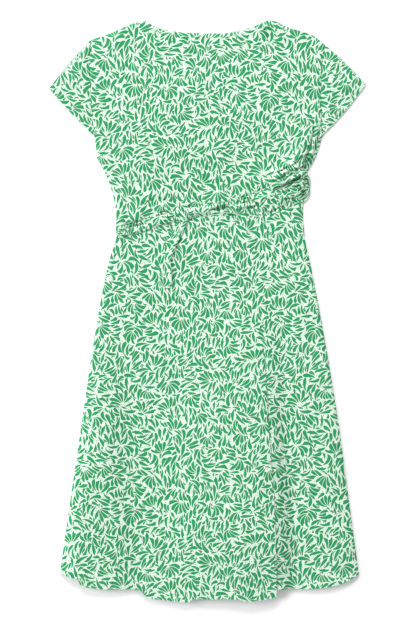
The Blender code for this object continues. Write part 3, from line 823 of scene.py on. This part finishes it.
def skirt_rim(front):
    xs = np.arange(-258.6, 122.0, 2.5)
    if front:
        hem_l = np.stack([xs, curve(HEM_LEFT["x"], HEM_LEFT["down"], xs)], 1)
        hem_l = np.concatenate([hem_l, [(121.5, 1006.2)]])
        xs = np.arange(122.6, 265.1, 2.5)
        hem_r = np.stack([xs, curve(HEM_RIGHT["x"], HEM_RIGHT["down"], xs)], 1)
    else:
        hem_l = np.stack([xs, curve(BACK_HEM["x"], BACK_HEM["down"], xs)], 1)
        xs = np.arange(122.6, 265.1, 2.5)
        hem_r = np.stack([xs, curve(BACK_HEM["x"], BACK_HEM["down"], xs)], 1)
    low_l, low_r = hem_l[0, 1], (HEM_RIGHT if front else BACK_HEM)["down"][-1]
    up_r, up_l = waist(172.0), waist(-160.1)
    downs_r = np.linspace(low_r, up_r, 260)
    downs_l = np.linspace(up_l, low_l, 230)
    xs = np.linspace(171.5, -160.0, 130)[1:-1]
    side_r = np.stack([right_edge(downs_r), downs_r], 1)
    side_l = np.stack([left_edge(downs_l), downs_l], 1)
    seam = np.stack([xs, waist(xs) + 0.2], 1)
    if not front:
        run = np.concatenate([hem_l, hem_r, side_r, seam, side_l])
        return rim_of(run * (1, -1))
    cloth = [in_skirt_cloth(p[:, 0], p[:, 1], r) for p, r in ((hem_l, False), (hem_r, True), (side_r, True))]
    gap = resample([cloth[0][-1], cloth[1][0]], 2.5)[1:-1]
    cloth.insert(1, gap)
    return rim_of(*cloth, in_skirt_cloth(seam[:, 0], seam[:, 1]), in_skirt_cloth(side_l[:, 0], side_l[:, 1], False))


def skirt_fine(s, w):
    down = -w
    q = s - (fold_x(down) - 24)
    lap = (q > 12) & (q < LAP_LONG - 14) & (down > 425)
    top_edge = (down - waist(np.clip(s, -160, 172))) < 42
    x = s - np.where(q > LAP_LONG, lapped(down) * HIDDEN, 0)
    side = (x - left_edge(down) < 11) | (right_edge(down) - x < 11)
    flank = (x - fold_x(down) > -34) & (x - fold_x(down) < 44) & (down > 430)
    return lap | top_edge | side | flank


def rows_along_hem(distances, lift=None):
    out = []
    for x0, x1, right in ((-256.0, 121.0, False), (123.5, 263.0, True)):
        xs = np.arange(x0, x1, 3.0)
        for d in distances:
            out.append(in_skirt_cloth(xs, hem(xs) - d, right))
    return np.concatenate(out)


# --------------------------------------------------------------------- bodice
def bodice_rim(neck_lower):
    xs = np.arange(-160.0, 172.0, 2.5)
    seam = np.stack([xs, waist(xs) - 0.2], 1)
    downs = np.linspace(waist(172.0), 204.8, 40)
    side_r = np.stack([right_edge(downs), downs], 1)
    shares = np.linspace(1, 0, 70)
    arm_r = np.stack(armhole(1, shares), 1) - (0.2, 0)
    xs = np.linspace(205.6, -203.9, 180)[1:-1]
    u = np.clip((xs - NECK[0]) / (NECK[1] - NECK[0]), 0, 1)
    upper = np.stack([xs, top(xs) + neck_lower * np.sin(math.pi * u) ** 0.5], 1)
    arm_l = np.stack(armhole(-1, shares[::-1]), 1) + (0.2, 0)
    downs = np.linspace(204.8, waist(-160.1), 60)
    side_l = np.stack([left_edge(downs), downs], 1)
    return rim_of(np.concatenate([seam, side_r, arm_r, upper, arm_l, side_l]) * (1, -1))


def bodice_height(x, down, creased=1.0):
    share = (x - left_edge(down)) / (right_edge(down) - left_edge(down))
    above = waist(np.clip(x, -160, 172)) - down
    free = smooth(above / 70.0)
    bust = 3.2 * smooth((down - 50) / 90.0) * (1 - smooth((down - 215) / 90.0)) * hump(share, 0.02, 0.30, 0.66, 0.98)
    soft = 0.40 * ripple(x, down, 85, 12, stretch=1.6) + 0.22 * ripple(x, down, 38, 13)
    # the waist's gathers
    gathers = 0.9 * np.exp(-np.clip(above, 0, None) / 30.0) * np.sin(2 * math.pi * x / 13.5 + 1.5 * ripple(x, down, 60, 14))
    # folds that run out of the bunch at the right side seam
    bx, bd = x - BUNCH[0], down - BUNCH[1]
    r = np.hypot(bx, bd)
    angle = np.arctan2(-bd, -bx)
    rays = (np.sin(angle * 11 + 0.8 * np.sin(r / 16)) * 1.5 * np.exp(-((r / 42.0) ** 2)) + np.sin(angle * 5 + 1.0) * 1.2 * np.exp(-((r / 85.0) ** 2))) * smooth(r / 10.0)
    # long soft folds to the left end of the waist
    lx, ld = x + 150.0, down - 372.0
    r2 = np.hypot(lx, ld)
    rays += np.sin(np.arctan2(-ld, lx) * 9) * 0.8 * np.exp(-((r2 / 75.0) ** 2)) * smooth(r2 / 12.0)
    on_side = down > 204.8
    side = np.where(on_side, np.minimum(x - left_edge(down), right_edge(down) - x), 30.0)
    edge = np.minimum(rounded(side, 9.0), rounded((down - top(x)) * 0.96, 8.0))
    t = np.interp(down, ARMHOLES["left_down"], ARMHOLES["left_x"])
    t2 = np.interp(down, ARMHOLES["right_down"], ARMHOLES["right_x"])
    arm = np.where(on_side, 30.0, np.minimum(x - t, t2 - x))
    seam = 1 - 0.45 * np.exp(-np.clip(arm, 0, None) / 3.5)
    lift = FULL * (0.5 + 0.5 * free) + bust + soft + (gathers + rays) * smooth((above - 2) / 12.0)
    crease = tucks(x, down) if creased else 0.0
    crease = np.where(above > 32, crease, np.minimum(crease, 0.0)) if creased else 0.0
    side_roll = 3.6 * np.exp(-(((right_edge(down) - x - 34) / 20.0) ** 2)) * smooth((down - 150) / 60.0) * smooth((300 - down) / 40.0)
    past, there = pocket(x, down)
    over = np.where(past < -19, np.exp(-(((past + 19) / 40.0) ** 2)), 1 - 0.30 * smooth((past + 19) / 19.0))
    lift = lift + 6.2 * smooth((x - 78.0) / 72.0) * smooth((177.0 - x) / 12.0) * over * smooth((1.0 - past) / 2.6) + blouse(x, down) + side_roll + crease
    turned = 0.3 * (1 - smooth((down - top(x) - 7.0) / 1.4)) * ((x > NECK[0]) & (x < NECK[1]))
    return BASE + (np.clip(lift, 0.0, None) * seam + turned) * edge


def bodice_points():
    """Flat points where the bodice falls over the ties, and around the bunch."""
    x, past = (g.ravel() for g in np.meshgrid(np.arange(-157.0, 112.0, 1.5), np.arange(-5.0, 4.0, 1.3)))
    s, down = (g.ravel() for g in np.meshgrid(np.arange(84.0, 205.0, 3.6), np.arange(205.0, 300.0, 3.6)))
    return np.concatenate([np.stack([x, -ties_top(x) - past], 1), np.stack([s, -down], 1)])


def lay_bodice(s, w):
    return plan(s, -w, bodice_height(s, -w))


def bodice_fine(s, w):
    down = -w
    close = np.hypot(s - BUNCH[0], down - BUNCH[1]) < 62
    low = (waist(np.clip(s, -160, 172)) - down) < 40
    upper = (down - top(s)) < 9
    side = (down > 204) & ((s - left_edge(down) < 10) | (right_edge(down) - s < 10))
    return close | low | upper | side


def drawn_in(leaves, centre, reach, pull):
    """Leaves of cloth that is gathered towards a point: smaller and closer there."""
    out = []
    c = np.array([centre[0], -centre[1]])
    for leaf in leaves:
        v = leaf - c
        r = np.hypot(v[:, 0], v[:, 1])[:, None]
        out.append(c + v * (1 - pull / (1 + (r / reach) ** 2)))
    return out


def drawn_down(leaves, pull, reach, skirt):
    """Leaves of cloth that is gathered on the waist line: flatter and closer there."""
    out = []
    for leaf in leaves:
        down = -leaf[:, 1]
        line = waist(np.clip(leaf[:, 0], -160, 172))
        away = (down - line) * (1 if skirt else -1)
        near = away * (1 - pull * np.exp(-((np.clip(away, 0, None) / reach) ** 2)))
        out.append(np.stack([leaf[:, 0], -(line + near * (1 if skirt else -1))], 1))
    return out


def lay_back(s, w):
    return s, HALF + w, np.full_like(s, 0.75)


# -------------------------------------------------------------------- sleeves
def sleeve_rim(side, tip, end):
    shares = np.linspace(0, 1, 70)
    arm = np.stack(armhole(side, shares), 1) + (side * 0.3, 0)
    tip, end, start = np.array(tip), np.array(end), arm[0]
    t = np.linspace(0, 1, 40)[:, None]
    bow = np.sin(math.pi * t)
    away = np.array([tip[1] - start[1], -(tip[0] - start[0])]) * side
    fold = tip + t * (start - tip) + away / np.linalg.norm(away) * (1.6 * bow)
    lip = end + t * (tip - end) + np.array([side * 0.72, 0.66]) * (1.8 * bow)
    points = np.concatenate([arm, lip, fold])
    if side < 0:
        points = points[::-1]
    out = rim_of(points * (1, -1))
    area = 0.5 * np.sum(out[:, 0] * np.roll(out[:, 1], -1) - np.roll(out[:, 0], -1) * out[:, 1])
    return out if area > 0 else out[::-1]


def lay_sleeve(side, tip, end):
    arm0 = np.array([float(v) for v in armhole(side, 0.0)])
    tip, end = np.array(tip, float), np.array(end, float)

    def from_line(x, down, a, b):
        v = b - a
        n = np.array([-v[1], v[0]]) / np.linalg.norm(v)
        return np.abs((x - a[0]) * n[0] + (down - a[1]) * n[1])

    def lay(s, w):
        x, down = s, -w
        fold, lip = from_line(x, down, arm0, tip), from_line(x, down, tip, end)
        t = np.interp(down, ARMHOLES["left_down"] if side < 0 else ARMHOLES["right_down"], ARMHOLES["left_x"] if side < 0 else ARMHOLES["right_x"])
        arm = np.abs(x - t)
        fullness = 2.4 + 1.2 * smooth(arm / 22.0) + 0.5 * ripple(x, down, 34, 31 + side)
        folds = 0.7 * np.sin(fold / 5.2 + 0.05 * arm * side) * np.exp(-arm / 26.0)
        turned = 0.3 * (1 - smooth((lip - 11.0) / 1.6))
        seam = 1 - 0.45 * np.exp(-arm / 3.5)
        under = from_line(x, down, end, np.array([float(v) for v in armhole(side, 1.0)]) + (side * 0.3, 0))
        return plan(x, down, BASE + (fullness * (0.28 + 0.72 * smooth(lip / 30.0)) + folds * smooth(lip / 20.0) + turned) * seam * rounded(fold + 0.01, 9.0) * np.where(down > 170, np.maximum(rounded(under, 5.0), 0.3), 1.0))

    return lay


# ----------------------------------------------------------------------- ties
TIE_LEFT = table(
    "x upper lower lift cloth",
    (-160.0, 361.5, 381.5, 0.4, 36), (-146.0, 357.0, 379.0, 0.7, 35), (-132.0, 353.5, 376.5, 0.9, 34), (-118.0, 350.5, 373.0, 1.1, 32),
    (-103.0, 347.0, 369.5, 2.0, 30), (-88.0, 343.0, 365.0, 1.6, 29), (-76.0, 340.0, 360.5, 1.8, 28), (-64.0, 336.5, 357.0, 2.4, 28),
    (-50.0, 331.0, 351.5, 3.6, 28),
)
TIE_RIGHT = table(
    "x upper lower lift cloth",
    (-33.0, 328.5, 347.0, 3.6, 28), (-12.0, 326.0, 344.0, 2.8, 28), (6.0, 322.0, 343.5, 2.6, 30), (26.0, 319.5, 342.5, 2.6, 32),
    (46.0, 315.5, 342.0, 2.4, 35), (66.0, 309.0, 342.5, 2.4, 41), (86.0, 301.0, 344.0, 2.6, 50), (106.0, 291.5, 341.0, 3.4, 60),
    (124.0, 281.5, 336.0, 4.6, 70), (142.0, 271.5, 329.0, 5.4, 79), (158.0, 263.5, 323.0, 5.4, 86), (171.0, 262.5, 317.0, 4.4, 90),
    (179.8, 279.0, 304.0, 2.0, 90),
)


def front_height(x, down):
    return np.where(down < waist(np.clip(x, -160, 172)), bodice_height(x, down, 0.0), skirt_height(x, down, x, 0.0))


def lay_tie(rows, count, seed, loops=0.0):
    # more cloth than length: it is gathered along its line as well
    along = 1.15 * np.concatenate([[0], np.cumsum(np.hypot(np.diff(rows["x"]), np.diff((rows["upper"] + rows["lower"]) / 2)))])

    def lay(s, w):
        v = np.clip(w / curve(along, rows["cloth"], s) + 0.5, -0.02, 1.02)
        x = curve(along, rows["x"], s) + 0.6 * np.sin(v * 7.0 + s / 17.0)
        low, up, lift = (curve(along, rows[k], s) for k in ("lower", "upper", "lift"))
        wave = ripple(s, v * 0 + seed, 46, seed) * 0.55 + loops * ripple(s, v * 30, 26, seed + 1)
        fold = np.abs(np.sin(math.pi * (count * v + wave))) ** 0.75
        second = 0.5 + 0.5 * np.sin(2 * math.pi * (count * 1.7 * v + ripple(s, v * 0, 30, seed + 2)))
        body = 0.62 * fold + 0.20 * second + 0.28
        down = low + v * (up - low) + 0.9 * ripple(s, v * 0, 24, seed + 4) * (1 - np.abs(2 * v - 1))
        inner = np.clip(1 - np.abs(2 * np.clip(v, 0, 1) - 1) ** 2.6, 0, 1)
        under = front_height(np.clip(x, -165, 172), down)
        level = np.clip(v, 0, 1)
        pillow = smooth(level * 1.9) * smooth((1 - level) * 3.0)
        past, there = pocket(x, down)
        pillow = pillow * (1 - there * (0.6 + 0.2 * smooth((past + 1) / 3.0)) * (1 - smooth(past / 26.0)))
        clear = 0.16 + 0.25 * ripple(s, level * 0, 22, seed + 6)
        z = np.maximum(under + clear, 2.6) + (1.0 + 0.6 * lift) * pillow + 0.42 * lift * body * inner + tucks(x, down) * smooth(level * 7.0) * smooth((1 - level) * 7.0)
        end = rounded(180.3 - x, 10.0)
        return plan(x, down, 0.9 + (np.maximum(z, 2.2) - 0.9) * end)

    return lay, along


def tie_rim(long, width, step=2.0):
    a = np.arange(0, long, step)
    b = np.arange(-width / 2, width / 2, step)
    return rim_of(
        np.stack([a, np.full_like(a, -width / 2)], 1), np.stack([np.full_like(b, long), b], 1),
        np.stack([long - a, np.full_like(a, width / 2)], 1), np.stack([np.zeros_like(b), -b], 1),
    )


def wide_rim(along, rows, step=2.0):
    """Outline of a tie that widens towards its seam."""
    a = np.arange(0, along[-1], step)
    half = curve(along, rows["cloth"], a) / 2
    far = rows["cloth"][-1] / 2
    b = np.arange(-far, far, step)
    c = np.arange(-half[0], half[0], step)
    return rim_of(
        np.stack([a, -half], 1), np.stack([np.full_like(b, along[-1]), b], 1),
        np.stack([a, half], 1)[::-1], np.stack([np.zeros_like(c), -c], 1)[1:],
    )


TIE_END = table(
    "down x half lift",
    (348.0, -43.0, 7.5, 3.6), (357.0, -45.5, 8.0, 3.4), (369.0, -50.5, 8.6, 3.4), (381.0, -57.0, 9.3, 3.6), (395.0, -65.0, 10.0, 3.6),
    (410.0, -72.0, 10.4, 3.4), (426.0, -75.0, 10.6, 3.4), (443.0, -73.5, 10.6, 3.4), (457.0, -73.0, 10.4, 3.0), (468.0, -75.5, 9.6, 2.2),
)


def lay_tie_end(width):
    rows = TIE_END
    along = np.concatenate([[0], np.cumsum(np.hypot(np.diff(rows["x"]), np.diff(rows["down"])))])

    def lay(s, w):
        # s across, w up the strip from its free end
        t = along[-1] - w
        v = s / width * 2
        x, down, half, lift = (curve(along, rows[k], t) for k in ("x", "down", "half", "lift"))
        x, down = x + v * half, down + 2.0 * v * (down > 450)
        under = front_height(x, np.maximum(down, 340.0))
        z = np.maximum(under + 0.5, 2.8) + lift * (0.08 + 0.66 * smooth((v + 0.6) / 1.5)) - 0.5 * np.abs(v) ** 8
        return plan(x, down, z)

    return lay, along[-1]


def lay_knot(s, w):
    a, b = s / 17.0, w / 18.5
    r = np.clip(np.hypot(a, b), 0, 1.0)
    q = r ** 0.92
    x = -41.5 + 14.4 * np.where(r > 1e-6, a / np.maximum(r, 1e-6), 0) * q
    down = 339.5 - 15.6 * np.where(r > 1e-6, b / np.maximum(r, 1e-6), 0) * q
    z = 3.3 + 4.6 * np.sqrt(np.clip(1 - r ** 3.0, 0, 1))
    crease = bell(a * 0.8 + b * 0.6 + 0.25 * np.sin(3 * b), 0.28, 0.10) * 2.2 + bell(a * 0.75 + b * 0.66 - 0.1 * np.sin(4 * a), -0.34, 0.09) * 1.8
    crease += 0.7 * bell(a * 0.8 + b * 0.6, -0.02, 0.07)
    return plan(x, down, np.maximum(z - (crease - 1.1 * tucks(x, down)) * (1 - r ** 4), 2.4))


# ------------------------------------------------------------------- building
PIECES = {}


def finish_piece(name, parts, nodes):
    made = make_mesh(name, parts, [GROUND, LEAF, WRONG])
    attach(made, "root")
    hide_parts(*nodes)
    PIECES[name] = made
    return made


def panel(name, rim, lay, leaves, rests, **more):
    finish_piece(name, shell(rim, lay, leaves, **more), [name])


# back layers: their printed side faces the table
for name, rim, shift in (("skirt_back", skirt_rim(False), (40.0, 150.0)), ("bodice_back", bodice_rim(BACK_NECK_LOWER), (110.0, 60.0))):
    panel(
        name, rim, lay_back, leaves_over(rim.min(0), rim.max(0), shift), [],
        step=40.0, wall=0.6, printed=-1, wrong_step=30.0,
    )

rim = skirt_rim(True)
panel(
    "skirt_front", rim, lay_skirt, drawn_down(leaves_over(rim.min(0), rim.max(0) + (0, 30), (13.0, -57.0)), 0.30, 42.0, True), ["skirt_back"],
    step=7.0, fine=skirt_fine, fine_step=2.7, wrong_step=7.0, extra=np.concatenate([rows_along_hem((12.6, 14.4, 16.2)), tuck_points(lay_skirt, (-165.0, -475.0), (184.0, -285.0), 1.4, 3.6)]),
)
rim = bodice_rim(0.0)
bodice_leaves = drawn_down(leaves_over(rim.min(0) - 60, rim.max(0) + 30, (-71.0, 33.0)), 0.30, 42.0, False)
bodice_leaves = drawn_in(bodice_leaves, BUNCH, 46.0, 0.52)
panel(
    "bodice_front", rim, lay_bodice, bodice_leaves, ["bodice_back"],
    step=7.0, fine=bodice_fine, fine_step=2.6, wrong_step=7.0, extra=np.concatenate([tuck_points(lay_bodice, (-165.0, -385.0), (205.0, -165.0), 1.1, 3.6), tuck_points(lay_bodice, (90.0, -40.0), (115.0, -5.0), 1.1, 3.6), bodice_points()]),
)
for name, size in SLEEVES.items():
    rim = sleeve_rim(**size)
    low, high = rim.min(0), rim.max(0)
    lay = lay_sleeve(**size)
    turn = -0.75 * size["side"]
    front = shell(rim, lay, leaves_over(low, high, (25.0, 80.0), turn), step=4.0, wrong_step=4.5)
    back = shell(rim, lay_back, leaves_over(low, high, (95.0, 10.0), turn), step=30.0, wall=0.6, printed=-1, wrong_step=20.0)
    finish_piece(name, front + back, [name])

for name, rows, count, seed, loops in (("tie_left", TIE_LEFT, 1.8, 41, 0.4), ("tie_right", TIE_RIGHT, 2.2, 51, 0.6)):
    lay, along = lay_tie(rows, count, seed, loops)
    rim = wide_rim(along, rows)
    leaves = leaves_over(rim.min(0), rim.max(0), (7.0 * seed, 31.0), 0.2)
    finish_piece(
        name, shell(rim, lay, leaves, step=1.7, wall=0.6, wrong_step=2.4, extra=tuck_points(lay, rim.min(0), rim.max(0), 0.85, 4.4)), [name],
    )

lay, long = lay_tie_end(24.0)
rim = tie_rim(24.0, long) + (-12.0, long / 2)
finish_piece(
    "tie_end", shell(rim, lay, leaves_over(rim.min(0), rim.max(0), (66.0, 20.0)), step=3.0, wall=0.6, wrong_step=6.0),
    ["tie_end"],
)
turns = np.linspace(0, 2 * math.pi, 73)[:-1]
rim = np.stack([17.0 * np.cos(turns), 18.5 * np.sin(turns)], 1) * 0.999
knot = make_mesh("tie_knot", shell(rim, lay_knot, leaves_over(rim.min(0), rim.max(0), (9.0, 120.0), 0.6), step=1.6, wall=0.8, wrong_step=2.4), [GROUND, LEAF, WRONG])
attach(knot, "root")
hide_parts("tie_knot")


# ------------------------------------------------------------------ stitching
def stitches(name, lay, line, long=2.1, gap=1.2, thick=0.34, lift=0.30):
    """Short threads on the cloth, each one sunk at both ends, along a line of flat points."""
    line = resample(line, 0.4)
    far = np.concatenate([[0], np.cumsum(np.hypot(*np.diff(line, axis=0).T))])
    starts = np.arange(0.5, far[-1] - long - 0.5, long + gap)
    ring = np.linspace(0, 2 * math.pi, 7)[:-1]
    co, tri, no = [], [], []
    shape = ((0.0, -0.25, 0.55), (0.2, 0.12, 1.0), (0.5, 0.22, 1.0), (0.8, 0.12, 1.0), (1.0, -0.25, 0.55))
    at = np.concatenate([[s + f * long for f, _, _ in shape] for s in starts])
    s, w = np.interp(at, far, line[:, 0]), np.interp(at, far, line[:, 1])
    points = np.stack(lay(s, w), 1)
    n = normals(lay, np.stack([s, w], 1))
    way = np.stack([np.gradient(points[:, i]) for i in range(3)], 1)
    way /= np.linalg.norm(way, axis=1)[:, None]
    side = np.cross(way, n)
    k = len(shape)
    for j in range(len(starts)):
        base = j * k * 6
        for i, (_, up, size) in enumerate(shape):
            c = points[j * k + i] + n[j * k + i] * (up + lift)
            for angle in ring:
                d = side[j * k + i] * math.cos(angle) + n[j * k + i] * math.sin(angle)
                co.append(c + d * thick / 2 * size)
                no.append(d)
        for i in range(k - 1):
            for m in range(6):
                a, b = base + i * 6 + m, base + i * 6 + (m + 1) % 6
                tri += [(a, b, a + 6), (b, b + 6, a + 6)]
    co, no, tri = np.array(co), np.array(no), np.array(tri)
    a, b, c = co[tri[:, 0]], co[tri[:, 1]], co[tri[:, 2]]
    wrong_way = np.einsum("ij,ij->i", np.cross(b - a, c - a), no[tri[:, 0]]) < 0
    tri[wrong_way] = tri[wrong_way][:, ::-1]
    made = make_mesh(name, [(co, tri, no[tri], co[tri][:, :, :2], np.zeros(len(tri), int))], [THREAD])
    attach(made, "root")
    return made


xs = np.arange(-254.0, 120.5, 1.5)
stitches("hem_stitching_left", lay_skirt, in_skirt_cloth(xs, hem(xs) - 14.0, False))
xs = np.arange(124.0, 262.0, 1.5)
stitches("hem_stitching_right", lay_skirt, in_skirt_cloth(xs, hem(xs) - 14.0, True))
xs = np.arange(NECK[0] + 5, NECK[1] - 5, 1.5)
stitches("neck_stitching", lay_bodice, np.stack([xs, -(top(xs) + 7.0)], 1))
for name, size in SLEEVES.items():
    tip, end = np.array(size["tip"]), np.array(size["end"])
    v = (end - tip) / np.linalg.norm(end - tip)
    inward = np.array([v[1], -v[0]]) * (1 if np.dot([v[1], -v[0]], [-size["side"], -0.6]) > 0 else -1)
    a, b = tip + inward * 11 + v * 12, end + inward * 11 - v * 2
    stitches(name + "_stitching", lay_sleeve(**size), np.array([(a[0], -a[1]), (b[0], -b[1])]))


# ------------------------------------------------------------- floor and light
def floor_material():
    made = bpy.data.materials.new("pale_floor")
    made.use_nodes = True
    shader = made.node_tree.nodes["Principled BSDF"]
    shader.inputs["Base Color"].default_value = (0.97, 0.97, 0.97, 1.0)
    shader.inputs["Roughness"].default_value = 1.0
    shader.inputs["Specular IOR Level"].default_value = 0.0
    return made


floor_mesh = bpy.data.meshes.new("floor")
floor_mesh.from_pydata([(-6, -6, 0), (6, -6, 0), (6, 6, 0), (-6, 6, 0)], [], [(0, 1, 2, 3)])
floor_mesh.materials.append(floor_material())
floor = bpy.data.objects.new("floor", floor_mesh)
bpy.context.scene.collection.objects.link(floor)

world = bpy.data.worlds.new("studio")
bpy.context.scene.world = world
world.use_nodes = True
world.node_tree.nodes["Background"].inputs["Color"].default_value = (1.0, 1.0, 1.0, 1.0)
world.node_tree.nodes["Background"].inputs["Strength"].default_value = 0.51


def area_light(name, place, aim, size, watts):
    data = bpy.data.lights.new(name, "AREA")
    data.shape = "RECTANGLE"
    data.size, data.size_y = size
    data.energy = watts
    data.color = (1.0, 1.0, 1.0)
    made = bpy.data.objects.new(name, data)
    made.location = place
    made.rotation_euler = (Vector(aim) - Vector(place)).to_track_quat("-Z", "Y").to_euler()
    bpy.context.scene.collection.objects.link(made)
    return made


area_light("key", (-0.7, 4.8, 3.3), (0.0, 0.0, 0.0), (3.2, 2.2), 238.0)
area_light("left", (-6.3, 1.2, 3.45), (0.0, 0.0, 0.0), (4.2, 4.2), 440.0)
area_light("right", (6.3, 0.6, 3.45), (0.0, 0.0, 0.0), (4.2, 4.2), 75.0)

view = bpy.context.scene.view_settings
view.view_transform = "Standard"
view.look = "None"
view.exposure = 0.0
view.gamma = 1.0

# --------------------------------------------------------------------- camera
camera_data = bpy.data.cameras.new("camera")
camera = bpy.data.objects.new("camera", camera_data)
bpy.context.scene.collection.objects.link(camera)
FRAME_HIGH = 1.092
HEIGHT = 3.2
camera_data.sensor_fit = "VERTICAL"
camera_data.sensor_height = 24.0
camera_data.lens = 24.0 * HEIGHT / FRAME_HIGH
camera_data.clip_end = 50.0
camera.location = (0.0009, -0.00175, HEIGHT + 0.005)
camera.rotation_euler = (0.0, 0.0, 0.0)
bpy.context.scene.camera = camera
